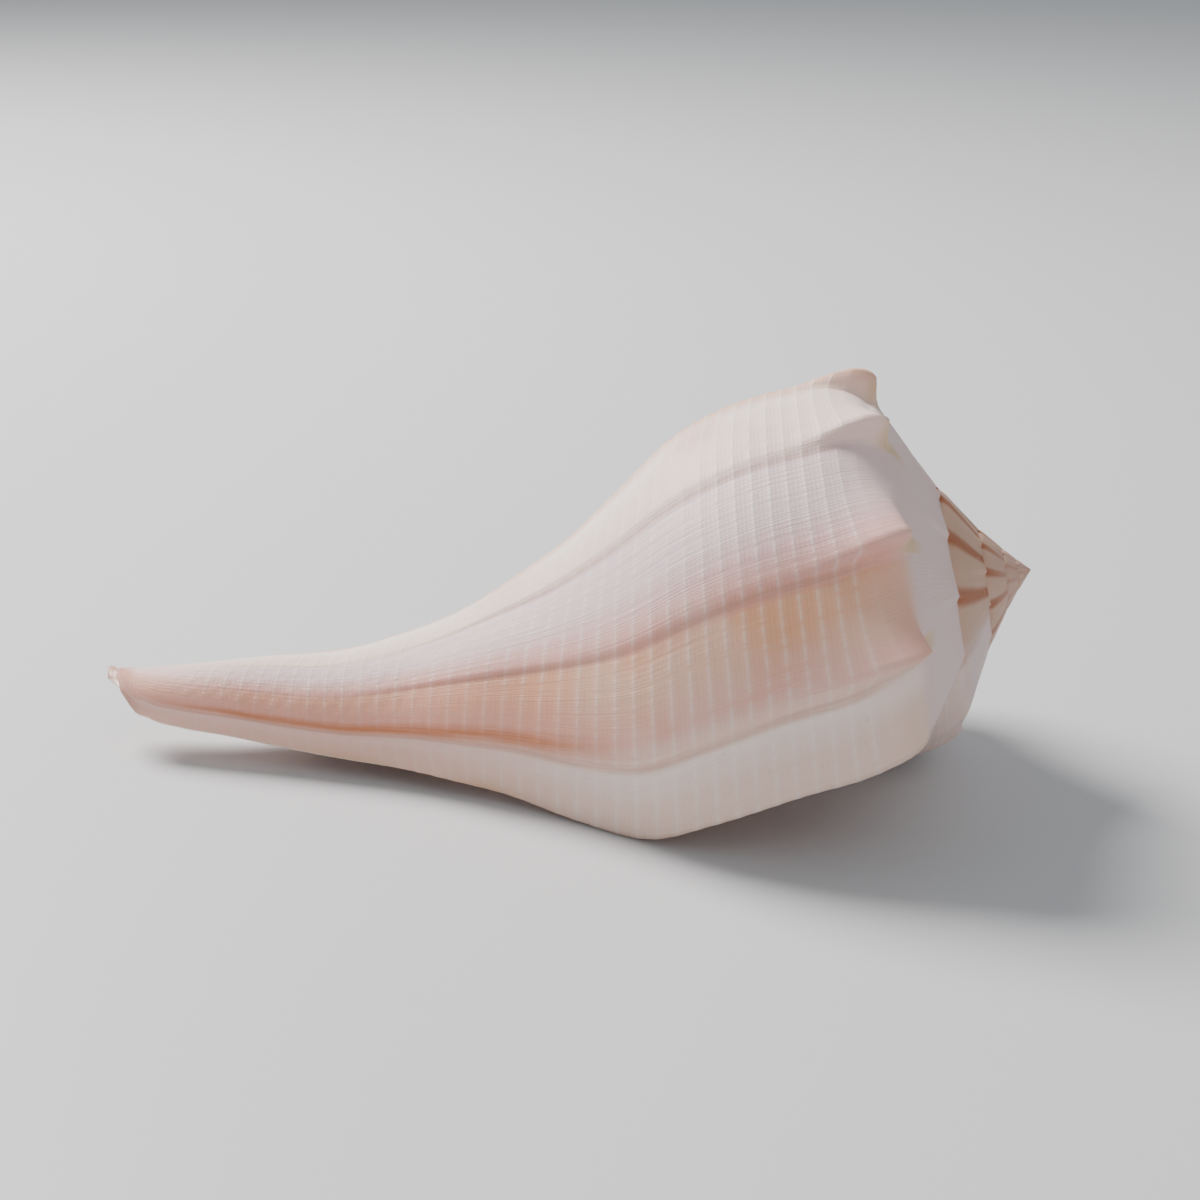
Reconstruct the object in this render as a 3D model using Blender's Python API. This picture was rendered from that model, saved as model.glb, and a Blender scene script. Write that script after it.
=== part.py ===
"""Shell of a lightning whelk, a left-handed sea snail, as one grown solid.

The wall is a logarithmic spiral: every size grows by WHORL_RATIO in one turn. Along the shell axis
"along" is the distance from the apex towards the canal tip, and "turn" is the growth angle in
degrees. The outer wall, the lip, the open canal and the hollow form one closed skin.
Metres, +Z up, lying on its aperture with the apex towards +X.
"""
import math

import bpy
import numpy as np

MM = 0.001

# Driving sizes.
SHELL_LENGTH = 130.5 * MM
WHORL_RATIO = 1.9
SHOULDER_ALONG = 22.0 * MM
SUTURE_ALONG = 11.37 * MM
SUTURE_RADIUS = 18.2 * MM
LIP_TURN = 16.0
SPIRE_TURNS = 4
HOLLOW_TURNS = 1.3

# Outline of the last whorl below the suture: (along, radius) in millimetres.
WHORL_OUTLINE = (
    (15.8, 27.4), (20.3, 34.0), (22.6, 35.4), (27.5, 37.6), (36.0, 38.2), (45.0, 37.4),
    (55.0, 34.2), (66.0, 27.0), (74.4, 21.4), (82.0, 17.8), (93.0, 13.3), (110.0, 10.0),
    (127.0, 7.6), (148.0, 2.4), (190.0, 0.4), (260.0, 0.1),
)
# The solid pillar that the whorls coil round: (along, radius) in millimetres.
PILLAR_OUTLINE = (
    (0.0, 0.02), (40.0, 1.5), (65.0, 2.8), (88.0, 4.8), (101.0, 4.9), (110.0, 3.3),
    (118.0, 1.9), (127.0, 0.9), (130.5, 0.02),
)
# The pillar is swollen on its mouth side, where the shell lies on it.
PILLAR_SWELL = 2.6 * MM
SWELL_ALONG = 92.0 * MM
SWELL_REACH = 16.0 * MM
SWELL_TURN = 90.0
# Growth angle of the lip edge on its way from the suture to the canal tip: (along, degrees).
LIP_OUTLINE = (
    (11.4, 13.5), (16.0, 13.0), (21.6, 13.5), (30.0, 15.5), (40.0, 17.5), (50.0, 22.0),
    (60.0, 28.5), (68.0, 29.5), (80.0, 27.0), (93.0, 23.0), (105.0, 22.0), (115.0, 22.0),
    (121.0, 23.0), (125.0, 20.0), (127.5, 8.0), (128.9, -30.0), (129.5, -95.0), (130.5, -150.0),
)

# Shoulder spines: growth angles of the five youngest, then an even step back to the apex.
YOUNG_SPINES = (-4.0, -28.0, -59.0, -91.0, -123.0)
SPINE_STEP = 31.0
SPINE_HEIGHT = 4.0 * MM
SPINE_LEAN = 2.4 * MM
SPINE_RISE = 21.0
SPINE_DROP = 4.0
SPINE_FRONT = 10.0 * MM
SPINE_BACK = 3.0 * MM
FOLD_STEP = 0.55 * MM

WALL = 1.7 * MM
LIP_THICKNESS = 1.3 * MM
CALLUS = 0.5 * MM
HOLLOW_INSET = 2.6 * MM
SPIRE_REACH = 24.0 * MM
SPIRE_STRETCH = 0.5
SPIRE_PINCH = 0.15
CANAL_BEND_START = 97.0 * MM
CANAL_BEND = 0.32
CANAL_BEND_TURN = -110.0

# How the shell lies on its lip and on the knobs of the earlier whorl.
REST_RISE = 13.15
REST_ROLL = -1.27
REST_YAW = 0.0

COLUMNS = 72
RAMP_STEPS = (0.0, 0.22, 0.45, 0.68, 0.87, 1.0)
BODY_ROWS = 22
HOLLOW_POINTS = 30
HOLLOW_COLUMNS = 30

GROWTH = math.log(WHORL_RATIO) / 360.0


def curve_through(points, x):
    """Smooth curve through the points, flat beyond both ends."""
    px = np.array([p[0] for p in points]) * MM
    py = np.array([p[1] for p in points])
    step = np.diff(px)
    slope = np.diff(py) / step
    tangent = np.empty(len(px))
    tangent[0] = slope[0]
    tangent[-1] = slope[-1]
    tangent[1:-1] = (slope[:-1] * step[1:] + slope[1:] * step[:-1]) / (step[1:] + step[:-1])
    x = np.clip(x, px[0], px[-1])
    i = np.clip(np.searchsorted(px, x) - 1, 0, len(step) - 1)
    t = (x - px[i]) / step[i]
    a = (1 + 2 * t) * (1 - t) ** 2 * py[i]
    b = t * (1 - t) ** 2 * step[i] * tangent[i]
    c = t * t * (3 - 2 * t) * py[i + 1]
    d = t * t * (t - 1) * step[i] * tangent[i + 1]
    return a + b + c + d


def smooth_step(low, high, x):
    t = np.clip((x - low) / (high - low), 0.0, 1.0)
    return t * t * (3 - 2 * t)


def size_at(turn):
    """Size of the shell at this growth angle, one at the lip."""
    return np.exp(GROWTH * (turn - LIP_TURN))


def attach_radius():
    return SUTURE_RADIUS * WHORL_RATIO


def whorl_points():
    suture = (SUTURE_ALONG / MM, SUTURE_RADIUS / MM)
    attach = (SUTURE_ALONG * WHORL_RATIO / MM, attach_radius() / MM)
    return tuple(sorted((suture, attach) + WHORL_OUTLINE))


def wall_radius(turn, along):
    """Outer radius of the whorl wall or of the pillar, whichever is the larger."""
    size = size_at(turn)
    wall = size * curve_through(whorl_points(), along / size) * MM
    side = 0.5 + 0.5 * np.cos(np.radians(turn - SWELL_TURN))
    swell = PILLAR_SWELL * side**1.5 * np.exp(-((along - SWELL_ALONG) / SWELL_REACH) ** 2)
    pillar = curve_through(PILLAR_OUTLINE, along) * MM + swell
    blend = 0.006 * along
    return 0.5 * (wall + pillar + np.sqrt((wall - pillar) ** 2 + blend**2))


def spine_turns():
    turns = list(YOUNG_SPINES)
    while turns[-1] > -360.0 * (SPIRE_TURNS + 2):
        turns.append(turns[-1] - SPINE_STEP)
    return np.array(turns)


def spine_shape(growth, level):
    """Height of the spines from 0 to 1 at a growth angle and at a scaled level along the axis."""
    ahead = growth[..., None] - spine_turns()
    rise = np.clip(1 + ahead / SPINE_RISE, 0.0, 1.0) ** 1.7 * (ahead <= 0)
    drop = np.clip(1 - ahead / SPINE_DROP, 0.0, 1.0) ** 1.3 * (ahead > 0)
    along = level - SHOULDER_ALONG
    width = np.where(along > 0, SPINE_FRONT, SPINE_BACK)
    worn = 0.25 + 0.75 * smooth_step(-330.0, -150.0, growth)
    return worn * (rise + drop).max(axis=-1) * np.exp(-((along / width) ** 2) * 1.6)


def fold_shape(growth):
    """Saw-tooth swelling between two growth folds, from 0 to 1."""
    ahead = growth[..., None] - (spine_turns() + 3.0)
    behind = np.where(ahead < 0, ahead, -360.0).max(axis=-1)
    return smooth_step(-30.0, -2.0, behind) * smooth_step(0.0, -2.0, behind)


def wall_offset(turn, along, growth):
    """Spine and fold offsets: (outward, towards the apex)."""
    size = size_at(turn)
    level = along / size
    height = spine_shape(growth, level)
    drag = spine_shape(growth - 360.0, np.full_like(level, SUTURE_ALONG * WHORL_RATIO))
    drag = drag * smooth_step(SUTURE_ALONG + 6 * MM, SUTURE_ALONG, level) / WHORL_RATIO
    body = smooth_step(SHOULDER_ALONG, SHOULDER_ALONG + 12 * MM, level)
    fold = fold_shape(growth) * body * smooth_step(110 * MM, 70 * MM, level) * FOLD_STEP
    knob = height + drag
    return size * (knob * SPINE_HEIGHT + fold), size * knob * SPINE_LEAN


def place(turn, along, radius):
    """Position in the shell's own frame: x towards the apex, y and z round the axis."""
    near_apex = np.clip(1 - along / SPIRE_REACH, 0.0, 1.0)
    radius = radius * (1 - SPIRE_PINCH * near_apex**1.5)
    spire = along + SPIRE_STRETCH * along * near_apex**2
    bend = 0.5 * (along - CANAL_BEND_START)
    bend = CANAL_BEND * (bend + np.sqrt(bend**2 + (3 * MM) ** 2))
    angle = np.radians(turn)
    lean = math.radians(CANAL_BEND_TURN)
    y = -(radius * np.cos(angle) + bend * math.cos(lean))
    z = -(radius * np.sin(angle) + bend * math.sin(lean))
    return np.stack([-spire, y, z], axis=-1)


def row_table():
    """Rows of the last whorl from the suture to the canal tip: lip distance, lip angle, drift."""
    attach = SUTURE_ALONG * WHORL_RATIO
    ramp = SUTURE_ALONG + (attach - SUTURE_ALONG) * np.array(RAMP_STEPS)
    share = np.linspace(0.0, 1.0, BODY_ROWS + 1)[1:]
    share = 0.45 * share + 0.55 * (1 - np.cos(np.pi * share)) / 2
    along = np.concatenate([ramp, attach + (SHELL_LENGTH - attach) * share])
    drift = 1 - np.clip((along - attach) / (SHELL_LENGTH - attach), 0.0, 1.0)
    return along, curve_through(LIP_OUTLINE, along), drift**0.8


def growth_row(row, columns):
    """Growth angle, turn and distance along the axis of one row at the given columns."""
    along, lip, drift = row_table()
    back = columns / COLUMNS
    bulge = max(lip[row] - LIP_TURN, 0.0) * smooth_step(0.0, -0.12, back) * 0.45
    turn = lip[row] - bulge + 360.0 * back
    return turn, along[row] * WHORL_RATIO ** (drift[row] * back), LIP_TURN + 360.0 * back


def outer_points(row, columns):
    turn, along, growth = growth_row(row, np.array(columns, float))
    out, lean = wall_offset(turn, along, growth)
    return place(turn, along - lean, wall_radius(turn, along) + out)


class Skin:
    """Vertices and faces of the shell surface."""

    def __init__(self):
        self.points = []
        self.faces = []

    def add(self, point):
        self.points.append(tuple(float(value) for value in point))
        return len(self.points) - 1

    def face(self, *corners):
        kept = tuple(dict.fromkeys(corners))
        if len(kept) > 2:
            self.faces.append(kept[::-1])

    def bridge(self, ids_a, share_a, ids_b, share_b):
        """Triangles between two lines of vertices, paced by their shares of the way."""
        a = 0
        b = 0
        while a < len(ids_a) - 1 or b < len(ids_b) - 1:
            step_a = share_a[a + 1] if a < len(ids_a) - 1 else math.inf
            step_b = share_b[b + 1] if b < len(ids_b) - 1 else math.inf
            if abs(step_a - step_b) < 1e-9:
                self.face(ids_a[a + 1], ids_a[a], ids_b[b], ids_b[b + 1])
                a += 1
                b += 1
            elif step_a < step_b:
                self.face(ids_a[a + 1], ids_a[a], ids_b[b])
                a += 1
            else:
                self.face(ids_a[a], ids_b[b], ids_b[b + 1])
                b += 1


def outer_skin(skin):
    """Ramp rows from the apex on, and every row in the last turn. Returns the vertex ids."""
    last_row = len(row_table()[0]) - 1
    joint = len(RAMP_STEPS) - 1
    first = -COLUMNS * (1 + SPIRE_TURNS)
    ids = {}
    for row in range(last_row):
        start = first if row <= joint else -COLUMNS
        end = 1 if row > 0 else first + COLUMNS
        columns = range(start, end)
        for column, point in zip(columns, outer_points(row, columns)):
            ids[column, row] = skin.add(point)
    for column in range(first + COLUMNS, 1):
        ids[column, 0] = ids[column - COLUMNS, joint]
    tip = skin.add(place(0.0, SHELL_LENGTH, 0.0))
    for column in range(-COLUMNS, 1):
        ids[column, last_row] = tip
    for column in range(first, 0):
        rows = last_row if column >= -COLUMNS else joint
        for row in range(rows):
            skin.face(ids[column, row], ids[column + 1, row],
                      ids[column + 1, row + 1], ids[column, row + 1])
    apex = skin.add(place(0.0, 0.05 * MM, 0.0))
    rim = [ids[column, 0] for column in range(first, first + COLUMNS)]
    rim += [ids[first, row] for row in range(joint, 0, -1)]
    for one, two in zip(rim, rim[1:] + rim[:1]):
        skin.face(apex, two, one)
    return ids


def mouth_lines():
    """The two sides of the mouth as (share, lip angle): along the lip, and along the pillar."""
    along, lip, drift = row_table()
    joint = len(RAMP_STEPS) - 1
    inner = along[joint:] * WHORL_RATIO ** -drift[joint:]
    reach = SHELL_LENGTH - SUTURE_ALONG
    lip_share = (along - SUTURE_ALONG) / reach
    return (lip_share, lip), ((inner - SUTURE_ALONG) / reach, lip[joint:])


def hollow_wall(back):
    lip = smooth_step(-25.0, 0.0, back)
    return LIP_THICKNESS * lip + WALL * (1 - lip)


def hollow_span(back):
    """Where the hollow starts and ends along the axis, this many degrees behind the lip."""
    size = WHORL_RATIO ** (back / 360.0)
    along = np.linspace(20 * MM, SHELL_LENGTH, 400)
    turn = back - 15.0
    room = wall_radius(turn, along) - wall_radius(turn - 360.0, along)
    open_at = along[room > hollow_wall(back) * size + CALLUS + 0.9 * MM * size]
    return SUTURE_ALONG * size + HOLLOW_INSET * size, open_at.max()


def hollow_side(side, share, back):
    """Points of one side of the hollow: side 0 under the whorl wall, side 1 on the pillar."""
    line_share, line_lip = mouth_lines()[side]
    start, end = hollow_span(back)
    size = WHORL_RATIO ** (back / 360.0)
    along = start + (end - start) * share
    lip = np.maximum(np.interp(share, line_share, line_lip), -15.0)
    turn = lip + back
    roof = wall_radius(turn, along) - hollow_wall(back) * size
    if side == 0:
        return place(turn, along, roof)
    deep = smooth_step(0.0, -30.0, back)
    floor = wall_radius(turn - 360.0, along) + CALLUS * deep
    return place(turn, along, np.minimum(floor, roof - 0.35 * MM * size))


def hollow_ring(skin, lip_share, pillar_share, back):
    """One closed ring of the hollow. Returns ids and shares, 0 to 1 out and 1 to 2 back."""
    ids = [skin.add(point) for point in hollow_side(0, lip_share, back)]
    ids += [skin.add(point) for point in hollow_side(1, pillar_share, back)]
    shares = list(lip_share) + list(2 - pillar_share)
    return ids + ids[:1], shares + [2.0]


def hollow_skin(skin, ids):
    """Lip edge, mouth and the hollow that winds in behind it, closed at its deep end."""
    last_row = len(row_table()[0]) - 1
    joint = len(RAMP_STEPS) - 1
    (lip_share, _), (pillar_share, _) = mouth_lines()
    back_rows = range(last_row - 1, joint, -1)
    mouth = [ids[0, row] for row in range(last_row + 1)]
    mouth += [ids[-COLUMNS, row] for row in back_rows]
    inner_share = pillar_share[1:-1][::-1]
    ring, shares = hollow_ring(skin, lip_share, inner_share, -1e-6)
    skin.bridge(mouth + mouth[:1], shares, ring, shares)
    count = HOLLOW_POINTS // 2
    lip_side = np.linspace(0.0, 1.0, count + 1) ** 1.15
    pillar_side = lip_side[1:-1][::-1]
    steps = int(HOLLOW_TURNS * HOLLOW_COLUMNS)
    for step in range(1, steps + 1):
        back = -360.0 * step / HOLLOW_COLUMNS
        next_ring, next_shares = hollow_ring(skin, lip_side, pillar_side, back)
        skin.bridge(ring, shares, next_ring, next_shares)
        ring = next_ring
        shares = next_shares
    middle = count
    top = ring[:middle + 1]
    bottom = [ring[0]] + ring[middle + 1:-1][::-1] + [ring[middle]]
    skin.bridge(top, list(lip_side), bottom, list(lip_side))


def rest(points):
    """Lay the shell down as it rests, its lowest point at zero and its box centred."""
    rise = math.radians(REST_RISE)
    roll = math.radians(REST_ROLL)
    yaw = math.radians(REST_YAW)
    turn_x = np.array([[1, 0, 0],
                       [0, math.cos(roll), -math.sin(roll)],
                       [0, math.sin(roll), math.cos(roll)]])
    turn_y = np.array([[math.cos(rise), 0, -math.sin(rise)],
                       [0, 1, 0],
                       [math.sin(rise), 0, math.cos(rise)]])
    turn_z = np.array([[math.cos(yaw), -math.sin(yaw), 0],
                       [math.sin(yaw), math.cos(yaw), 0],
                       [0, 0, 1]])
    points = points @ (turn_z @ turn_y @ turn_x).T
    low = points.min(axis=0)
    high = points.max(axis=0)
    return points - [(low[0] + high[0]) / 2, (low[1] + high[1]) / 2, low[2]]


def clear_scene():
    for item in list(bpy.data.objects):
        bpy.data.objects.remove(item, do_unlink=True)


def shell_material():
    material = bpy.data.materials.new("shell")
    material.use_nodes = True
    shader = material.node_tree.nodes["Principled BSDF"]
    shader.inputs["Base Color"].default_value = (0.86, 0.72, 0.68, 1.0)
    shader.inputs["Roughness"].default_value = 0.42
    return material


def build_shell():
    skin = Skin()
    hollow_skin(skin, outer_skin(skin))
    mesh = bpy.data.meshes.new("shell")
    mesh.from_pydata(rest(np.array(skin.points)), [], skin.faces)
    mesh.update()
    mesh.materials.append(shell_material())
    shell = bpy.data.objects.new("shell", mesh)
    bpy.context.scene.collection.objects.link(shell)
    return shell


clear_scene()
build_shell()
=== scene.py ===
"""Lightning whelk shell: a left-handed shell grown as one wall, lying on its mouth."""
import math

import bpy
import numpy as np
from mathutils import Euler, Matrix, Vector


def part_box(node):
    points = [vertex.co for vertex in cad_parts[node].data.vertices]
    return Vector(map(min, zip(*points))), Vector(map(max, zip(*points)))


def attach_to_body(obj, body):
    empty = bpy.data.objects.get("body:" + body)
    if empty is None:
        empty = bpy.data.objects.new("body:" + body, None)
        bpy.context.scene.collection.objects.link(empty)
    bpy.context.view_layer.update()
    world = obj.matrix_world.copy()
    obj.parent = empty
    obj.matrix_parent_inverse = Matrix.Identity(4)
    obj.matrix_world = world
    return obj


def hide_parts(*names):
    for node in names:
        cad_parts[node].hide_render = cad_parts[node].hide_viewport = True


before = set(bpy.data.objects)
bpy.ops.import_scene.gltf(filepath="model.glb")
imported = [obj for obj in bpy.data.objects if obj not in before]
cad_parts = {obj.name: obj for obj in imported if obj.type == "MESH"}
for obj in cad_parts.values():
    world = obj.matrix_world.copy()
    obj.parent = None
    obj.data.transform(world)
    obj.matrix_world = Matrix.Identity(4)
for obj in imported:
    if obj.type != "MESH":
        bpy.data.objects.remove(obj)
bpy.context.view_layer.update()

MM = 0.001

# ---- sizes of the shell, as the grower of the wall would state them ----
SHELL_LENGTH = 130.5 * MM
WHORL_RATIO = 1.9
SHOULDER_ALONG = 22.0 * MM
SUTURE_ALONG = 11.37 * MM
SUTURE_RADIUS = 18.2 * MM
LIP_TURN = 16.0
SPIRE_TURNS = 4
HOLLOW_TURNS = 1.3

WHORL_OUTLINE = (
    (15.8, 27.4), (20.3, 34.0), (22.6, 35.4), (27.5, 37.6), (36.0, 38.2), (45.0, 37.4),
    (55.0, 34.2), (66.0, 27.0), (74.4, 21.4), (82.0, 17.8), (93.0, 13.3), (110.0, 10.0),
    (127.0, 7.6), (148.0, 2.4), (190.0, 0.4), (260.0, 0.1),
)
PILLAR_OUTLINE = (
    (0.0, 0.02), (40.0, 1.5), (65.0, 2.8), (88.0, 4.8), (101.0, 4.9), (110.0, 3.3),
    (118.0, 1.9), (127.0, 0.9), (130.5, 0.02),
)
PILLAR_SWELL = 2.6 * MM
SWELL_ALONG = 92.0 * MM
SWELL_REACH = 16.0 * MM
SWELL_TURN = 90.0
LIP_OUTLINE = (
    (11.4, 13.5), (16.0, 13.0), (21.6, 13.5), (30.0, 15.5), (40.0, 17.5), (50.0, 22.0),
    (60.0, 28.5), (68.0, 29.5), (80.0, 27.0), (93.0, 23.0), (105.0, 22.0), (115.0, 22.0),
    (121.0, 23.0), (125.0, 20.0), (127.5, 8.0), (128.9, -30.0), (129.5, -95.0), (130.5, -150.0),
)

YOUNG_SPINES = (-4.0, -28.0, -59.0, -91.0, -123.0)
SPINE_STEP = 31.0
SPINE_FRONT = 8.5 * MM
SPINE_BACK = 1.9 * MM

WALL = 1.7 * MM
LIP_THICKNESS = 1.3 * MM
CALLUS = 0.5 * MM
HOLLOW_INSET = 2.6 * MM

# What the growth tree is given: every size it uses to coil and sculpt the wall.
COIL = {
    "Whorl Ratio": WHORL_RATIO,
    "Lip Turn": LIP_TURN,
    "Spine Height": 4.8 * MM,
    "Spine Lean": 3.4 * MM,
    "Spine Rise": 0.68,
    "Spine Drop": 0.085,
    "Fold Step": 0.55 * MM,
    "Fold Delay": 0.11,
    "Thread Height": 0.07 * MM,
    "Thread Pitch": 2.55 * MM,
    "Spire Reach": 24.0 * MM,
    "Spire Stretch": 0.5,
    "Spire Pinch": 0.15,
    "Canal Bend Start": 97.0 * MM,
    "Canal Bend": 0.32,
    "Canal Bend Turn": -110.0,
    "Rest Rise": 13.15,
    "Rest Roll": -1.27,
}

COLUMNS = 280
RAMP_ROWS = 20
BODY_ROWS = 168
HOLLOW_POINTS = 80
HOLLOW_COLUMNS = 64
RIM_LOOPS = 4


# ---- the growth rule ----
def curve_through(points, x):
    """Smooth curve through the points, flat beyond both ends."""
    px = np.array([p[0] for p in points]) * MM
    py = np.array([p[1] for p in points])
    step = np.diff(px)
    slope = np.diff(py) / step
    tangent = np.empty(len(px))
    tangent[0] = slope[0]
    tangent[-1] = slope[-1]
    tangent[1:-1] = (slope[:-1] * step[1:] + slope[1:] * step[:-1]) / (step[1:] + step[:-1])
    x = np.clip(x, px[0], px[-1])
    i = np.clip(np.searchsorted(px, x) - 1, 0, len(step) - 1)
    t = (x - px[i]) / step[i]
    a = (1 + 2 * t) * (1 - t) ** 2 * py[i]
    b = t * (1 - t) ** 2 * step[i] * tangent[i]
    c = t * t * (3 - 2 * t) * py[i + 1]
    d = t * t * (t - 1) * step[i] * tangent[i + 1]
    return a + b + c + d


def smooth_step(low, high, x):
    t = np.clip((x - low) / (high - low), 0.0, 1.0)
    return t * t * (3 - 2 * t)


def size_at(turn):
    return WHORL_RATIO ** ((turn - LIP_TURN) / 360.0)


def wall_radius(turn, along):
    """Radius of the whorl wall or of the pillar, whichever is the larger."""
    suture = (SUTURE_ALONG / MM, SUTURE_RADIUS / MM)
    attach = (SUTURE_ALONG * WHORL_RATIO / MM, SUTURE_RADIUS * WHORL_RATIO / MM)
    outline = tuple(sorted((suture, attach) + WHORL_OUTLINE))
    size = size_at(turn)
    wall = size * curve_through(outline, along / size) * MM
    side = 0.5 + 0.5 * np.cos(np.radians(turn - SWELL_TURN))
    swell = PILLAR_SWELL * side**1.5 * np.exp(-((along - SWELL_ALONG) / SWELL_REACH) ** 2)
    pillar = curve_through(PILLAR_OUTLINE, along) * MM + swell
    blend = 0.006 * along
    return 0.5 * (wall + pillar + np.sqrt((wall - pillar) ** 2 + blend**2))


def beat_at(growth):
    """Growth counted in spines: a whole number at each spine's tip."""
    turns = list(YOUNG_SPINES)
    while turns[-1] > -360.0 * (SPIRE_TURNS + 2):
        turns.append(turns[-1] - SPINE_STEP)
    turns = [YOUNG_SPINES[0] + SPINE_STEP] + turns
    count = np.arange(len(turns), 0, -1) + 1.0
    return np.interp(growth, turns[::-1], count[::-1])


def knob_at(growth, level):
    """(beat to follow, weight) of the shoulder spines, worn down on the older whorls."""
    def weight(growth, level):
        width = np.where(level > SHOULDER_ALONG, SPINE_FRONT, SPINE_BACK)
        worn = 0.25 + 0.75 * smooth_step(-330.0, -150.0, growth)
        return worn * np.exp(-(((level - SHOULDER_ALONG) / width) ** 2) * 1.6)

    attach = np.full_like(level, SUTURE_ALONG * WHORL_RATIO)
    drag = weight(growth - 360.0, attach) / WHORL_RATIO
    drag = drag * smooth_step(SUTURE_ALONG + 6 * MM, SUTURE_ALONG, level)
    near = level < SUTURE_ALONG + 6 * MM
    return np.where(near, beat_at(growth - 360.0), beat_at(growth)), \
        np.where(near, drag, weight(growth, level))


# ---- the sheet that the growth tree coils ----
class Sheet:
    """Points and quads of the wall, laid out by growth and by distance along the axis."""

    point_names = ("turn", "along", "reach", "beat", "knob", "own_beat", "fold", "level", "thread")
    corner_names = ("growth", "beat", "level", "along", "side", "depth")

    def __init__(self):
        self.points = []
        self.count = 0
        self.faces = []
        self.corners = []

    def add(self, **values):
        """Adds points with the named values; returns their ids in the shape of turn."""
        shape = np.shape(values["turn"])
        block = [np.broadcast_to(values.get(name, 0.0), shape).ravel() for name in self.point_names]
        self.points.append(np.stack(block, axis=1).astype(float))
        size = int(np.prod(shape))
        ids = np.arange(self.count, self.count + size).reshape(shape)
        self.count += size
        return ids

    def strip(self, ids, marks, flip=False):
        """Quads between neighbours of a grid of ids; marks holds the corner values."""
        corners = [(slice(None, -1), slice(None, -1)), (slice(1, None), slice(None, -1)),
                   (slice(1, None), slice(1, None)), (slice(None, -1), slice(1, None))]
        if flip:
            corners = corners[::-1]
        quads = np.stack([ids[c].ravel() for c in corners], axis=1)
        values = [np.stack([np.broadcast_to(marks[name], ids.shape)[c].ravel() for c in corners], axis=1)
                  for name in self.corner_names]
        values = np.stack(values, axis=2)
        for quad, value in zip(quads.tolist(), values):
            kept = [i for i, v in enumerate(quad) if v not in quad[:i]]
            if len(kept) > 2:
                self.faces.append([quad[i] for i in kept])
                self.corners.append(value[kept])


def row_table():
    """Rows of the last whorl from suture to canal tip: lip distance, lip turn, drift."""
    attach = SUTURE_ALONG * WHORL_RATIO
    ramp = np.linspace(SUTURE_ALONG, attach, RAMP_ROWS + 1)
    share = np.linspace(0.0, 1.0, BODY_ROWS + 1)[1:]
    share = 0.8 * share + 0.2 * (1 - np.cos(np.pi * share)) / 2
    along = np.concatenate([ramp, attach + (SHELL_LENGTH - attach) * share])
    drift = 1 - np.clip((along - attach) / (SHELL_LENGTH - attach), 0.0, 1.0)
    return along, curve_through(LIP_OUTLINE, along), drift**0.8


def outer_values(columns, rows):
    """Point values and corner marks of the outer wall at these columns and rows."""
    lip_along, lip_turn, drift = (line[rows][None, :] for line in row_table())
    back = np.asarray(columns, float)[:, None] / COLUMNS
    bulge = np.maximum(lip_turn - LIP_TURN, 0.0) * smooth_step(0.0, -0.12, back) * 0.45
    turn = lip_turn - bulge + 360.0 * back
    along = lip_along * WHORL_RATIO ** (drift * back)
    growth = LIP_TURN + 360.0 * back + 0 * turn
    level = along / size_at(turn)
    beat, knob = knob_at(growth, level)
    attach = SUTURE_ALONG * WHORL_RATIO
    glaze = smooth_step(LIP_TURN - 330.0, LIP_TURN - 360.0, growth)
    bare = 1 - glaze * smooth_step(attach, attach + 5 * MM, level) * (growth > LIP_TURN - 361)
    body = smooth_step(SHOULDER_ALONG, SHOULDER_ALONG + 12 * MM, level)
    fold = body * smooth_step(110 * MM, 70 * MM, level) * bare
    thread = smooth_step(attach, attach + 6 * MM, level) * bare * smooth_step(126 * MM, 116 * MM, along)
    values = dict(turn=turn, along=along, reach=wall_radius(turn, along), beat=beat,
                  knob=knob * bare, own_beat=beat_at(growth), fold=fold, level=level, thread=thread)
    marks = dict(growth=growth, beat=beat_at(growth), level=level, along=along,
                 side=0.0 * turn, depth=0.0 * turn)
    return values, marks


def outer_wall(sheet):
    """The ramp back to the apex and the whole of the last whorl."""
    joint = RAMP_ROWS
    last = RAMP_ROWS + BODY_ROWS
    first = -COLUMNS * (1 + SPIRE_TURNS)
    columns = np.arange(first, 1)
    ids = np.full((len(columns), last + 1), -1)

    def place(column_slice, row_slice):
        values, _ = outer_values(columns[column_slice], np.arange(last + 1)[row_slice])
        ids[column_slice, row_slice] = sheet.add(**values)

    start = len(columns) - 1 - COLUMNS
    place(slice(0, COLUMNS), slice(0, 1))
    place(slice(0, start), slice(1, joint + 1))
    place(slice(start, None), slice(1, last))
    for column in range(COLUMNS, len(columns)):
        ids[column, 0] = ids[column - COLUMNS, joint]
    tip = sheet.add(turn=np.zeros(1), along=SHELL_LENGTH, reach=0.0, level=SHELL_LENGTH)
    ids[start:, last] = tip[0]
    for part, rows in ((slice(0, start + 1), np.arange(joint + 1)), (slice(start, None), np.arange(last + 1))):
        _, marks = outer_values(columns[part], rows)
        sheet.strip(ids[part, :len(rows)], marks, flip=True)
    apex = sheet.add(turn=np.zeros(1), along=0.05 * MM, reach=0.0, beat=0.5)
    rim = np.concatenate([ids[:COLUMNS, 0], ids[0, joint:0:-1], ids[:1, 0]])
    grid = np.stack([np.full(len(rim), apex[0]), rim], axis=1)
    marks = dict(growth=-1700.0, beat=1.0, level=15 * MM, along=0.4 * MM, side=0.0, depth=0.0)
    sheet.strip(grid, marks, flip=True)
    mouth = np.concatenate([ids[-1, :], ids[start, last - 1:joint:-1], ids[-1, :1]])
    return mouth


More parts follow.
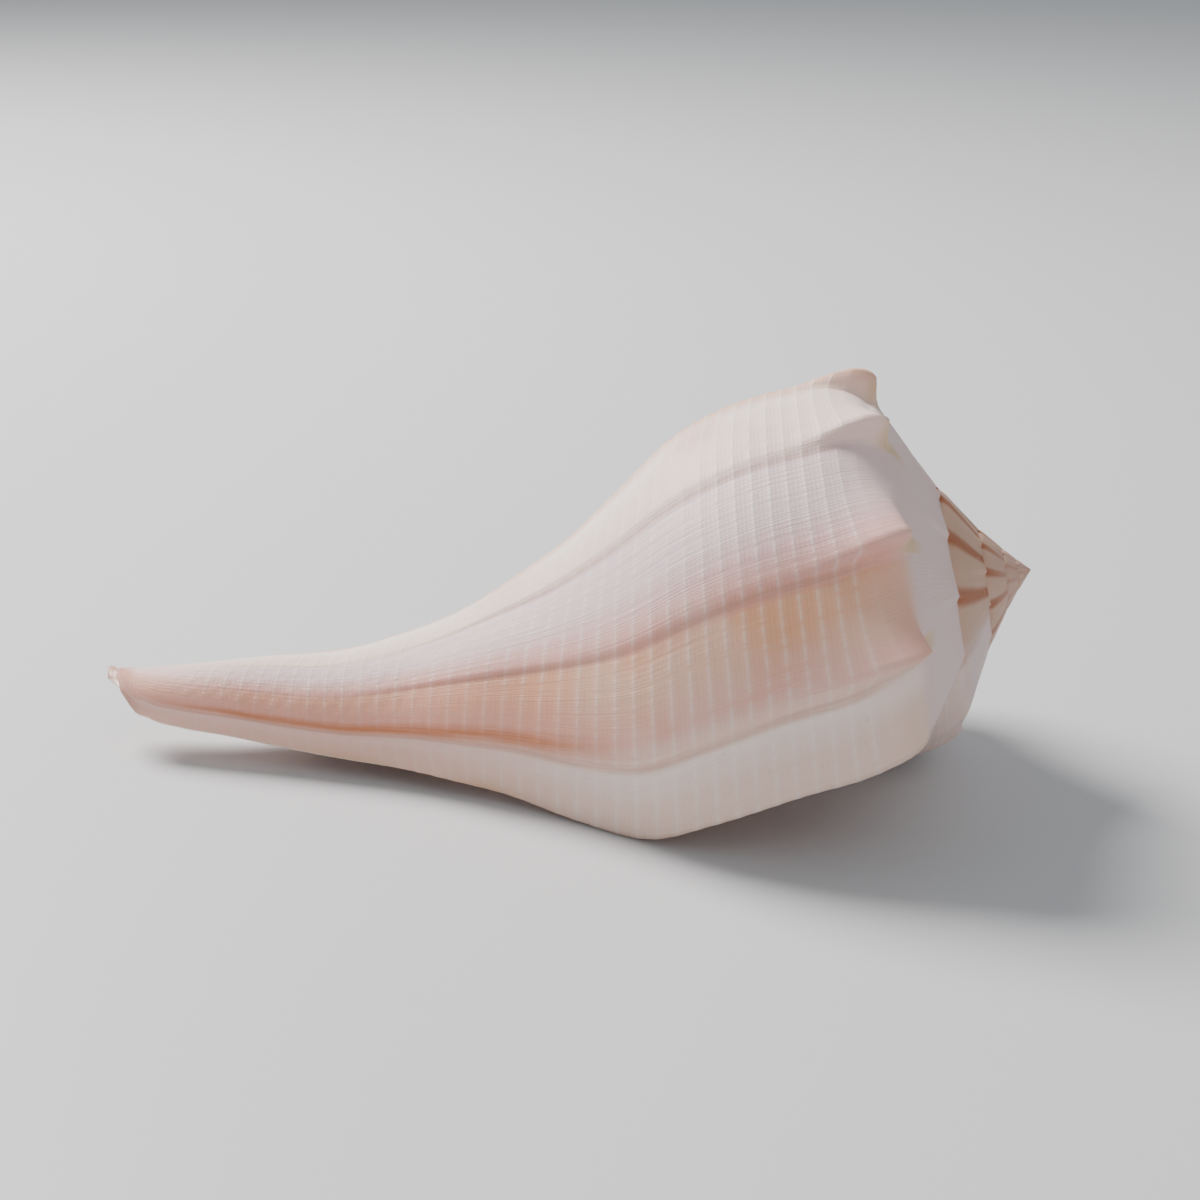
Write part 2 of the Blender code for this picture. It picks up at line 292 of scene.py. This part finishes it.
def mouth_lines():
    along, lip, drift = row_table()
    inner = along[RAMP_ROWS:] * WHORL_RATIO ** -drift[RAMP_ROWS:]
    reach = SHELL_LENGTH - SUTURE_ALONG
    return ((along - SUTURE_ALONG) / reach, lip), ((inner - SUTURE_ALONG) / reach, lip[RAMP_ROWS:])


def hollow_wall(back):
    lip = smooth_step(-25.0, 0.0, back)
    return LIP_THICKNESS * lip + WALL * (1 - lip)


def hollow_span(back):
    size = WHORL_RATIO ** (back / 360.0)
    along = np.linspace(20 * MM, SHELL_LENGTH, 1500)
    turn = back - 15.0
    room = wall_radius(turn, along) - wall_radius(turn - 360.0, along)
    open_at = along[room > hollow_wall(back) * size + CALLUS + 0.9 * MM * size]
    return (SUTURE_ALONG + HOLLOW_INSET) * size, open_at.max()


def hollow_side(side, share, back):
    """(turn, along, reach) on one side of the hollow: 0 under the wall, 1 on the pillar."""
    line_share, line_lip = mouth_lines()[side]
    start, end = hollow_span(back)
    size = WHORL_RATIO ** (back / 360.0)
    along = start + (end - start) * share
    lip = np.maximum(np.interp(share, line_share, line_lip), -15.0)
    turn = lip + back
    roof = wall_radius(turn, along) - hollow_wall(back) * size
    if side == 0:
        return turn, along, roof
    deep = smooth_step(0.0, -30.0, back)
    floor = wall_radius(turn - 360.0, along) + CALLUS * deep
    return turn, along, np.minimum(floor, roof - 0.35 * MM * size)


def hollow_loop(lip_share, pillar_share, back):
    sides = [hollow_side(0, lip_share, back), hollow_side(1, pillar_share, back)]
    turn, along, reach = (np.concatenate(pair) for pair in zip(*sides))
    side = np.concatenate([np.full(len(lip_share), 1.0), np.full(len(pillar_share), 2.0)])
    return turn, along, reach, side


def loop_ids(sheet, turn, along, reach):
    ids = sheet.add(turn=turn, along=along, reach=reach, level=along / size_at(turn))
    return np.concatenate([ids, ids[:1]])


def lip_and_hollow(sheet, mouth):
    """The rounded lip edge, the mouth and the hollow that winds in behind it."""
    (lip_share, lip_turn), (pillar_share, pillar_turn) = mouth_lines()
    along, _, drift = row_table()
    inner_along = along[RAMP_ROWS:] * WHORL_RATIO ** -drift[RAMP_ROWS:]
    inner = slice(-2, 0, -1)
    edge_turn = np.concatenate([lip_turn, pillar_turn[inner]])
    edge_along = np.concatenate([along, inner_along[inner]])
    edge_reach = np.concatenate([wall_radius(lip_turn, along),
                                 wall_radius(pillar_turn[inner] - 360.0, inner_along[inner])])
    deep_turn, deep_along, deep_reach, side = hollow_loop(lip_share, pillar_share[inner], -1e-6)
    count = len(lip_share)
    closing = np.concatenate([np.arange(len(side)), [0]])
    loops = [mouth]
    for step in range(1, RIM_LOOPS + 1):
        way = step / (RIM_LOOPS + 1)
        swing = 0.5 - 0.5 * math.cos(math.pi * way)
        turn = edge_turn + (deep_turn - edge_turn) * swing
        reach = edge_reach + (deep_reach - edge_reach) * swing
        spot = edge_along + (deep_along - edge_along) * swing
        swell = 0.5 * LIP_THICKNESS * math.sin(math.pi * way) * (side < 1.5)
        swell *= smooth_step(0.0, 0.03, edge_along - SUTURE_ALONG) * smooth_step(0.0, 6 * MM, reach)
        turn = turn + np.degrees(swell / np.maximum(reach, 2 * MM))
        loops.append(loop_ids(sheet, turn, spot, reach))
    loops.append(loop_ids(sheet, deep_turn, deep_along, deep_reach))
    grid = np.stack(loops)
    depth = np.linspace(0.0, 0.01, len(loops))[:, None]
    marks = dict(growth=LIP_TURN, beat=2.0, level=edge_along[closing][None, :],
                 along=edge_along[closing][None, :], side=side[closing][None, :], depth=depth)
    sheet.strip(grid, marks, flip=True)

    half = HOLLOW_POINTS // 2
    lip_side = np.linspace(0.0, 1.0, half + 1) ** 1.15
    pillar_side = lip_side[1:-1][::-1]
    steps = int(HOLLOW_TURNS * HOLLOW_COLUMNS)
    rings = []
    marks_along = []
    for step in range(1, steps + 1):
        turn, along, reach, ring_side = hollow_loop(lip_side, pillar_side, -360.0 * step / HOLLOW_COLUMNS)
        rings.append(loop_ids(sheet, turn, along, reach))
        marks_along.append(np.concatenate([along, along[:1]]))
    around = np.concatenate([lip_side, 2 - pillar_side, [2.0]])
    ring_side = np.where(around <= 1.0, 1.0, 2.0)
    edge_around = np.concatenate([lip_share, 2 - pillar_share[inner], [2.0]])
    bridge(sheet, loops[-1], edge_around, rings[0], around, marks_along[0][0])
    back = np.arange(1, steps + 1)[:, None] / HOLLOW_COLUMNS
    marks = dict(growth=LIP_TURN - 360.0 * back, beat=2.0, level=np.stack(marks_along),
                 along=np.stack(marks_along), side=ring_side[None, :], depth=0.02 + back)
    sheet.strip(np.stack(rings), marks, flip=True)
    ring = rings[-1]
    near = ring[:half + 1]
    far = np.concatenate([ring[:1], ring[half + 1:-1][::-1], ring[half:half + 1]])
    marks = dict(growth=-400.0, beat=2.0, level=50 * MM, along=50 * MM, side=1.0, depth=HOLLOW_TURNS)
    sheet.strip(np.stack([near, far]), marks, flip=True)


def bridge(sheet, one, one_way, two, two_way, along):
    """Triangles between two closed loops of different counts, paced by the way round."""
    a = 0
    b = 0
    mark = [LIP_TURN, 2.0, along, along, 1.0, 0.015]
    while a < len(one) - 1 or b < len(two) - 1:
        ahead_a = one_way[a + 1] if a < len(one) - 1 else math.inf
        ahead_b = two_way[b + 1] if b < len(two) - 1 else math.inf
        if ahead_a <= ahead_b:
            face = [one[a], one[a + 1], two[b]]
            a += 1
        else:
            face = [one[a], two[b + 1], two[b]]
            b += 1
        if len(set(face)) == 3:
            sheet.faces.append([int(i) for i in face])
            row = np.array([mark] * 3)
            row[:, 4] = 1.0 if one_way[a] <= 1.0 else 2.0
            sheet.corners.append(row)


def sheet_mesh():
    """The flat sheet as a mesh: growth along x, distance from the apex along y."""
    sheet = Sheet()
    lip_and_hollow(sheet, outer_wall(sheet))
    points = np.concatenate(sheet.points)
    flat = np.zeros((len(points), 3))
    flat[:, 0] = points[:, 0] * MM
    flat[:, 1] = points[:, 1]
    flat[:, 2] = points[:, 2]
    mesh = bpy.data.meshes.new("wall_sheet")
    mesh.from_pydata(flat, [], sheet.faces)
    for index, name in enumerate(Sheet.point_names):
        layer = mesh.attributes.new(name, "FLOAT", "POINT")
        layer.data.foreach_set("value", points[:, index].astype(np.float32))
    corners = np.concatenate(sheet.corners)
    pairs = {"growth_beat": (corners[:, 0] / 360.0, corners[:, 1]),
             "level_along": (corners[:, 2] / (50 * MM), corners[:, 3] / SHELL_LENGTH),
             "side_depth": (corners[:, 4], corners[:, 5])}
    for name, (u, v) in pairs.items():
        layer = mesh.uv_layers.new(name=name)
        layer.data.foreach_set("uv", np.stack([u, v], axis=1).ravel().astype(np.float32))
    mesh.update()
    return mesh


# ---- the growth tree ----
class Tree:
    """Short spellings for the nodes that the growth tree is made of."""

    def __init__(self, name):
        self.tree = bpy.data.node_groups.new(name, "GeometryNodeTree")
        self.tree.interface.new_socket("Geometry", in_out="INPUT", socket_type="NodeSocketGeometry")
        self.tree.interface.new_socket("Geometry", in_out="OUTPUT", socket_type="NodeSocketGeometry")
        self.inputs = {}

    def start(self, sizes):
        for name, value in sizes.items():
            socket = self.tree.interface.new_socket(name, in_out="INPUT", socket_type="NodeSocketFloat")
            self.inputs[name] = (socket.identifier, value)
        self.group_in = self.tree.nodes.new("NodeGroupInput")
        self.group_out = self.tree.nodes.new("NodeGroupOutput")

    def size(self, name):
        return self.group_in.outputs[name]

    def math(self, operation, *values, clamp=False):
        node = self.tree.nodes.new("ShaderNodeMath")
        node.operation = operation
        node.use_clamp = clamp
        for socket, value in zip(node.inputs, values):
            if isinstance(value, (int, float)):
                socket.default_value = value
            else:
                self.tree.links.new(value, socket)
        return node.outputs[0]

    def attribute(self, name):
        node = self.tree.nodes.new("GeometryNodeInputNamedAttribute")
        node.data_type = "FLOAT"
        node.inputs["Name"].default_value = name
        return node.outputs["Attribute"]

    def vector(self, x, y, z):
        node = self.tree.nodes.new("ShaderNodeCombineXYZ")
        for socket, value in zip(node.inputs, (x, y, z)):
            if isinstance(value, (int, float)):
                socket.default_value = value
            else:
                self.tree.links.new(value, socket)
        return node.outputs[0]


def growth_tree(material):
    """Coils the sheet round the axis and raises spines, folds and threads on it."""
    t = Tree("Coil The Whelk Wall")
    t.start(COIL)
    m = t.math
    turn = t.attribute("turn")
    along = t.attribute("along")

    turns_back = m("DIVIDE", m("SUBTRACT", turn, t.size("Lip Turn")), 360.0)
    size = m("POWER", t.size("Whorl Ratio"), turns_back)

    # spines: a slow rise and a quick drop in every beat
    since = m("FRACT", t.attribute("beat"))
    rise = m("ADD", 1.0, m("DIVIDE", m("SUBTRACT", since, 1.0), t.size("Spine Rise")), clamp=True)
    rise = m("POWER", rise, 1.9)
    drop = m("SUBTRACT", 1.0, m("DIVIDE", since, t.size("Spine Drop")), clamp=True)
    drop = m("POWER", drop, 1.3)
    knob = m("MULTIPLY", m("MAXIMUM", rise, drop), t.attribute("knob"))

    # folds: the wall swells up to each old lip and steps down behind it
    fold_way = m("FRACT", m("SUBTRACT", t.attribute("own_beat"), t.size("Fold Delay")))
    swell = m("SMOOTH_MIN", fold_way, m("MULTIPLY", m("SUBTRACT", 1.0, fold_way), 14.0), 0.08)
    fold = m("MULTIPLY", m("MULTIPLY", swell, t.attribute("fold")), t.size("Fold Step"))

    # threads: low cords at an even pitch along the axis
    cord = m("COSINE", m("MULTIPLY", m("DIVIDE", t.attribute("level"), t.size("Thread Pitch")), math.tau))
    cord = m("POWER", m("ADD", 0.5, m("MULTIPLY", cord, 0.5)), 3.0)
    thread = m("MULTIPLY", m("MULTIPLY", cord, t.attribute("thread")), t.size("Thread Height"))

    out = m("ADD", m("MULTIPLY", knob, t.size("Spine Height")), m("ADD", fold, thread))
    radius = m("ADD", t.attribute("reach"), m("MULTIPLY", out, size))
    spot = m("SUBTRACT", along, m("MULTIPLY", m("MULTIPLY", knob, t.size("Spine Lean")), size))

    near_apex = m("SUBTRACT", 1.0, m("DIVIDE", spot, t.size("Spire Reach")), clamp=True)
    pinch = m("MULTIPLY", t.size("Spire Pinch"), m("POWER", near_apex, 1.5))
    radius = m("MULTIPLY", radius, m("SUBTRACT", 1.0, pinch))
    stretch = m("MULTIPLY", m("MULTIPLY", t.size("Spire Stretch"), spot), m("POWER", near_apex, 2.0))
    axis = m("ADD", spot, stretch)

    half = m("MULTIPLY", m("SUBTRACT", spot, t.size("Canal Bend Start")), 0.5)
    bend = m("ADD", half, m("SQRT", m("ADD", m("MULTIPLY", half, half), (3 * MM) ** 2)))
    bend = m("MULTIPLY", bend, t.size("Canal Bend"))
    bend_turn = m("RADIANS", t.size("Canal Bend Turn"))
    angle = m("RADIANS", turn)
    side = m("ADD", m("MULTIPLY", radius, m("COSINE", angle)), m("MULTIPLY", bend, m("COSINE", bend_turn)))
    down = m("ADD", m("MULTIPLY", radius, m("SINE", angle)), m("MULTIPLY", bend, m("SINE", bend_turn)))
    place = t.vector(m("MULTIPLY", axis, -1.0), m("MULTIPLY", side, -1.0), m("MULTIPLY", down, -1.0))

    nodes = t.tree.nodes
    links = t.tree.links
    coil = nodes.new("GeometryNodeSetPosition")
    links.new(t.group_in.outputs["Geometry"], coil.inputs["Geometry"])
    links.new(place, coil.inputs["Position"])
    rest = nodes.new("GeometryNodeTransform")
    rise_back = m("MULTIPLY", m("RADIANS", t.size("Rest Rise")), -1.0)
    lean = t.vector(m("RADIANS", t.size("Rest Roll")), rise_back, 0.0)
    links.new(coil.outputs["Geometry"], rest.inputs["Geometry"])
    links.new(lean, rest.inputs["Rotation"])
    real = nodes.new("GeometryNodeRealizeInstances")
    links.new(rest.outputs["Geometry"], real.inputs["Geometry"])
    paint = nodes.new("GeometryNodeSetMaterial")
    paint.inputs["Material"].default_value = material
    links.new(real.outputs["Geometry"], paint.inputs["Geometry"])
    links.new(paint.outputs["Geometry"], t.group_out.inputs["Geometry"])
    return t


def grown_shell(material):
    """Runs the growth tree and keeps the result as one plain mesh on the CAD's own place."""
    holder = bpy.data.objects.new("wall_sheet", sheet_mesh())
    bpy.context.scene.collection.objects.link(holder)
    tree = growth_tree(material)
    grow = holder.modifiers.new("grow", "NODES")
    grow.node_group = tree.tree
    for identifier, value in tree.inputs.values():
        grow[identifier] = value
    graph = bpy.context.evaluated_depsgraph_get()
    mesh = bpy.data.meshes.new_from_object(holder.evaluated_get(graph))
    bpy.data.objects.remove(holder)
    mesh.name = "whelk_wall"
    points = np.empty(len(mesh.vertices) * 3, np.float32)
    mesh.vertices.foreach_get("co", points)
    points = points.reshape(-1, 3)
    low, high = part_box("shell")
    shift = (np.array(low) + np.array(high) - points.min(axis=0) - points.max(axis=0)) / 2
    shift[2] = low[2] - points[:, 2].min()
    mesh.vertices.foreach_set("co", (points + shift).ravel())
    for name in Sheet.point_names:
        if name in mesh.attributes:
            mesh.attributes.remove(mesh.attributes[name])
    mesh.shade_smooth()
    mesh.update()
    shell = bpy.data.objects.new("whelk_wall", mesh)
    bpy.context.scene.collection.objects.link(shell)
    return shell


# ---- finish ----
class Paint:
    """Short spellings for the nodes of a finish."""

    def __init__(self, name):
        self.material = bpy.data.materials.new(name)
        self.material.use_nodes = True
        self.tree = self.material.node_tree
        self.shader = self.tree.nodes["Principled BSDF"]

    def put(self, socket, value):
        if isinstance(value, (int, float)):
            socket.default_value = value
        elif isinstance(value, tuple):
            socket.default_value = value + (1.0,) * (4 - len(value))
        else:
            self.tree.links.new(value, socket)

    def math(self, operation, *values, clamp=False):
        node = self.tree.nodes.new("ShaderNodeMath")
        node.operation = operation
        node.use_clamp = clamp
        for socket, value in zip(node.inputs, values):
            self.put(socket, value)
        return node.outputs[0]

    def times(self, *values):
        product = values[0]
        for value in values[1:]:
            product = self.math("MULTIPLY", product, value)
        return product

    def marks(self, name):
        uv = self.tree.nodes.new("ShaderNodeUVMap")
        uv.uv_map = name
        split = self.tree.nodes.new("ShaderNodeSeparateXYZ")
        self.put(split.inputs[0], uv.outputs[0])
        return split.outputs[0], split.outputs[1]

    def step(self, value, low, high):
        """0 below low, 1 above high, smooth between; low may be the larger."""
        node = self.tree.nodes.new("ShaderNodeMapRange")
        node.interpolation_type = "SMOOTHSTEP"
        low_out, high_out = (0.0, 1.0) if low < high else (1.0, 0.0)
        for name, number in (("From Min", min(low, high)), ("From Max", max(low, high)),
                             ("To Min", low_out), ("To Max", high_out)):
            node.inputs[name].default_value = number
        self.put(node.inputs["Value"], value)
        return node.outputs["Result"]

    def band(self, value, low, high, soft):
        inside = self.step(value, low - soft, low + soft)
        return self.times(inside, self.step(value, high + soft, high - soft))

    def mix(self, share, one, two):
        node = self.tree.nodes.new("ShaderNodeMix")
        node.data_type = "RGBA"
        self.put(node.inputs[0], share)
        self.put(node.inputs[6], one)
        self.put(node.inputs[7], two)
        return node.outputs[2]

    def noise(self, x, y, z, scale, detail=3.0, rough=0.55):
        join = self.tree.nodes.new("ShaderNodeCombineXYZ")
        for socket, value in zip(join.inputs, (x, y, z)):
            self.put(socket, value)
        node = self.tree.nodes.new("ShaderNodeTexNoise")
        node.inputs["Scale"].default_value = scale
        node.inputs["Detail"].default_value = detail
        node.inputs["Roughness"].default_value = rough
        self.put(node.inputs["Vector"], join.outputs[0])
        return node.outputs["Fac"]

    def ramp(self, value, stops):
        node = self.tree.nodes.new("ShaderNodeValToRGB")
        line = node.color_ramp
        line.elements[0].position = stops[0][0]
        line.elements[0].color = stops[0][1] + (1.0,)
        line.elements[1].position = stops[-1][0]
        line.elements[1].color = stops[-1][1] + (1.0,)
        for place, colour in stops[1:-1]:
            line.elements.new(place).color = colour + (1.0,)
        self.put(node.inputs[0], value)
        return node.outputs[0]


# Colours of the wall, as linear light.
WHITE = (0.86, 0.63, 0.56)
BRIGHT = (0.95, 0.80, 0.74)
LAVENDER = (0.78, 0.58, 0.60)
PEACH = (0.74, 0.36, 0.20)
CREAM = (0.80, 0.57, 0.46)
# Painted shade: a greyer, darker tone that stands in for the shadow on the ramp.
PAINTED_RAMP_SHADE = (0.74, 0.55, 0.53)
PINK = (0.76, 0.34, 0.26)
ORANGE = (0.52, 0.15, 0.03)
FLAME = (0.34, 0.09, 0.025)
SPIRE_BUFF = (0.55, 0.33, 0.23)
TIP_YELLOW = (0.66, 0.46, 0.24)
APRICOT = (0.90, 0.45, 0.24)
GLAZE = (0.93, 0.74, 0.62)
THREAD_WHITE = (0.98, 0.92, 0.88)
UNDERSIDE_OCHRE = (0.62, 0.38, 0.20)
FOLD_BROWN = (0.55, 0.28, 0.20)
GROWTH_LINE = (0.72, 0.52, 0.46)
APEX_BROWN = (0.60, 0.38, 0.30)
SPECK_BROWN = (0.60, 0.42, 0.34)
CANAL_TIP = (0.50, 0.24, 0.18)


def shell_finish():
    """Wall colour and relief, read from growth, level and distance along the axis."""
    p = Paint("shell_wall")
    turns, beat = p.marks("growth_beat")
    level_share, along_share = p.marks("level_along")
    side, depth = p.marks("side_depth")
    growth = p.math("MULTIPLY", turns, 360.0)
    level = p.math("MULTIPLY", level_share, 50.0)
    along = p.math("MULTIPLY", along_share, SHELL_LENGTH / MM)
    place = p.tree.nodes.new("ShaderNodeTexCoord").outputs["Object"]
    spot = p.tree.nodes.new("ShaderNodeSeparateXYZ")
    p.put(spot.inputs[0], place)
    x, y, z = spot.outputs

    cloud = p.noise(x, y, z, 38.0, 3.0)
    patch = p.noise(x, y, z, 110.0, 4.0, 0.6)
    streak = p.noise(p.times(growth, 0.55), p.times(along, 0.035), 0.0, 1.0, 4.0, 0.6)
    hair = p.noise(p.times(growth, 2.4), p.times(along, 0.05), 3.0, 1.0, 2.0)
    speck = p.noise(x, y, z, 900.0, 2.0)

    # bands between the old lips, youngest at the right of the ramp
    wander = p.times(p.math("SUBTRACT", streak, 0.5), 5.0)
    way = p.math("DIVIDE", p.math("ADD", p.math("ADD", growth, 140.0), wander), 156.0)
    body = p.ramp(way, (
        (0.00, WHITE), (0.22, WHITE), (0.30, PEACH), (0.335, WHITE), (0.38, BRIGHT), (0.53, WHITE),
        (0.548, LAVENDER), (0.64, LAVENDER), (0.735, PINK), (0.75, PEACH), (0.80, PEACH),
        (0.86, PINK), (0.89, CREAM), (0.905, BRIGHT), (0.95, CREAM), (1.0, CREAM)))
    upper = p.times(p.band(growth, -125.0, -62.0, 12.0), p.step(cloud, 0.46, 0.62))
    upper = p.times(upper, p.band(along, 26.0, 75.0, 8.0))
    body = p.mix(p.times(upper, 0.7), body, PEACH)
    pale = p.step(cloud, 0.40, 0.62)
    body = p.mix(p.times(pale, 0.40), body, WHITE)

    # threads: white cords and the finer ones between them
    pitch = COIL["Thread Pitch"] / MM
    canal = p.step(along, 58.0, 100.0)
    waver = p.math("ADD", level, p.times(p.math("SUBTRACT", patch, 0.5), 0.35))
    waver = p.math("ADD", waver, p.times(growth, canal, 0.16))
    cord = p.math("ADD", 0.5, p.times(p.math("COSINE", p.times(waver, math.tau / pitch)), 0.5))
    fine = p.math("ADD", 0.5, p.times(p.math("COSINE", p.times(waver, 4 * math.tau / pitch)), 0.5))
    lines = p.math("ADD", p.times(p.math("POWER", cord, 5.0), 0.7), p.times(p.math("POWER", fine, 3.0), 0.22))
    lined = p.times(p.step(level, 24.0, 29.0), p.step(along, 128.0, 112.0), p.step(streak, 0.25, 0.6))
    body = p.mix(p.times(lines, lined, 0.34), body, THREAD_WHITE)

    # canal: pink, with the brown stripe under the last fold and an ochre edge
    body = p.mix(p.times(canal, 0.45, p.step(growth, -60.0, -5.0)), body, PINK)
    drift = p.times(p.math("SUBTRACT", cloud, 0.5), 7.0)
    thread_of_growth = p.math("ADD", growth, drift)
    stripe = p.times(p.band(thread_of_growth, -7.0, -2.5, 2.6), p.band(along, 64.0, 120.0, 9.0))
    stain = p.times(p.band(thread_of_growth, -22.0, 2.0, 9.0), p.band(along, 66.0, 122.0, 12.0))
    body = p.mix(p.times(stain, 0.42), body, PINK)
    body = p.mix(p.times(stripe, p.step(streak, 0.22, 0.55), 0.85), body, ORANGE)
    edge = p.times(p.step(growth, 9.0, 15.5), p.band(along, 76.0, 106.0, 8.0), p.step(cloud, 0.35, 0.6))
    body = p.mix(p.times(edge, 0.75), body, UNDERSIDE_OCHRE)
    tip = p.step(along, 125.0, 129.0)

    # folds: a thin warm line where each old lip was
    fold_way = p.math("FRACT", p.math("SUBTRACT", beat, COIL["Fold Delay"]))
    fold_gap = p.math("MINIMUM", fold_way, p.math("SUBTRACT", 1.0, fold_way))
    fold = p.times(p.step(fold_gap, 0.055, 0.008), p.step(level, 23.0, 30.0), p.step(growth, -100.0, -20.0))
    fold = p.times(fold, p.step(streak, 0.3, 0.55))
    body = p.mix(p.times(fold, 0.6), body, FOLD_BROWN)
    body = p.mix(p.times(p.step(hair, 0.52, 0.75), 0.18), body, GROWTH_LINE)

    # ramp darkened and greyed as painted shade, spine tips and spire
    ramp = p.step(level, 21.5, 18.5)
    body = p.mix(ramp, body, PAINTED_RAMP_SHADE)
    since = p.math("FRACT", p.math("ADD", beat, 0.5))
    worn = p.times(p.band(since, 0.43, 0.58, 0.035), p.band(level, 17.5, 22.0, 1.2))
    worn = p.times(worn, p.step(growth, -170.0, -150.0))
    body = p.mix(p.times(worn, p.step(patch, 0.35, 0.55), 0.8), body, TIP_YELLOW)
    slant = p.math("FRACT", p.math("ADD", beat, p.times(level, 0.02)))
    flame = p.times(p.band(slant, 0.30, 0.58, 0.08), p.step(patch, 0.22, 0.42))
    old = p.step(growth, LIP_TURN - 352.0, LIP_TURN - 366.0)
    spire = p.mix(p.times(p.step(cloud, 0.35, 0.65), 0.35), SPIRE_BUFF, WHITE)
    spire = p.mix(p.times(flame, 0.85), spire, FLAME)
    spire = p.mix(p.times(p.step(along, 5.5, 2.0), 0.7), spire, APEX_BROWN)
    body = p.mix(old, body, spire)

    # hollow: pale glaze at the lip, apricot behind it
    hollow = p.step(side, 0.2, 0.8)
    inside = p.mix(p.step(depth, 0.004, 0.06), GLAZE, APRICOT)
    inside = p.mix(p.times(p.step(cloud, 0.3, 0.7), 0.25), inside, GLAZE)
    body = p.mix(hollow, body, inside)
    body = p.mix(p.times(p.step(speck, 0.66, 0.74), 0.25), body, SPECK_BROWN)
    body = p.mix(p.times(tip, 0.75), body, CANAL_TIP)
    p.put(p.shader.inputs["Base Color"], body)

    rough = p.math("ADD", p.times(p.math("SUBTRACT", 1.0, hollow), 0.20), 0.24)
    rough = p.math("ADD", rough, p.times(patch, 0.14))
    p.put(p.shader.inputs["Roughness"], rough)
    p.shader.inputs["Specular IOR Level"].default_value = 0.45
    p.shader.inputs["Subsurface Weight"].default_value = 0.12
    p.shader.inputs["Subsurface Radius"].default_value = (0.004, 0.0018, 0.0012)
    p.shader.inputs["Subsurface Scale"].default_value = 1.0

    outside = p.math("SUBTRACT", 1.0, hollow)
    relief = p.times(p.math("ADD", p.times(lines, lined, 0.8), p.times(hair, 0.9)), outside)
    relief = p.math("ADD", relief, p.times(streak, 0.7, outside))
    relief = p.math("ADD", relief, p.times(patch, 0.35))
    bump = p.tree.nodes.new("ShaderNodeBump")
    bump.inputs["Strength"].default_value = 0.45
    bump.inputs["Distance"].default_value = 0.00022
    p.put(bump.inputs["Height"], relief)
    p.put(p.shader.inputs["Normal"], bump.outputs[0])
    return p.material


# ---- surroundings ----
def floor():
    bpy.ops.mesh.primitive_plane_add(size=4.0, location=(0.0, 0.6, -0.0002))
    plane = bpy.context.object
    plane.name = "table_top"
    material = bpy.data.materials.new("pale_table")
    material.use_nodes = True
    shader = material.node_tree.nodes["Principled BSDF"]
    shader.inputs["Base Color"].default_value = (0.60, 0.61, 0.63, 1.0)
    shader.inputs["Roughness"].default_value = 0.5
    plane.data.materials.append(material)


def soft_light(name, spot, target, size, power, colour):
    light = bpy.data.lights.new(name, "AREA")
    light.shape = "DISK"
    light.size = size
    light.energy = power
    light.color = colour
    lamp = bpy.data.objects.new(name, light)
    lamp.location = spot
    lamp.rotation_euler = (Vector(target) - Vector(spot)).to_track_quat("-Z", "Y").to_euler()
    bpy.context.scene.collection.objects.link(lamp)


def lights():
    soft_light("window", (-0.55, 0.45, 0.75), (0, 0, 0.02), 0.5, 25.0, (1.0, 0.955, 0.91))
    soft_light("room", (0.5, -0.9, 0.8), (0, 0, 0.02), 1.2, 3.5, (1.0, 0.97, 0.95))
    world = bpy.data.worlds.new("room")
    world.use_nodes = True
    world.node_tree.nodes["Background"].inputs["Color"].default_value = (0.80, 0.86, 0.90, 1.0)
    world.node_tree.nodes["Background"].inputs["Strength"].default_value = 0.46
    bpy.context.scene.world = world


CAMERA_FIELD = 30.0
CAMERA_PITCH = 20.0
CAMERA_ROLL = -1.1
CAMERA_AWAY = 0.309
CAMERA_TARGET = (0.0, 0.0, 0.020)
CAMERA_SHIFT = (21.5 / 1200, 33.2 / 1200)


def camera():
    data = bpy.data.cameras.new("camera")
    data.sensor_width = 36.0
    data.lens = data.sensor_width / 2 / math.tan(math.radians(CAMERA_FIELD / 2))
    pitch = math.radians(CAMERA_PITCH)
    target = Vector(CAMERA_TARGET)
    spot = target + CAMERA_AWAY * Vector((0.0, -math.cos(pitch), math.sin(pitch)))
    eye = bpy.data.objects.new("camera", data)
    eye.rotation_euler = Euler((math.pi / 2 - pitch, math.radians(CAMERA_ROLL), 0.0))
    eye.location = spot
    data.shift_x, data.shift_y = CAMERA_SHIFT
    bpy.context.scene.collection.objects.link(eye)
    bpy.context.scene.camera = eye


camera()
floor()
lights()
wall = grown_shell(shell_finish())
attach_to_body(wall, "root")
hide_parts("shell")
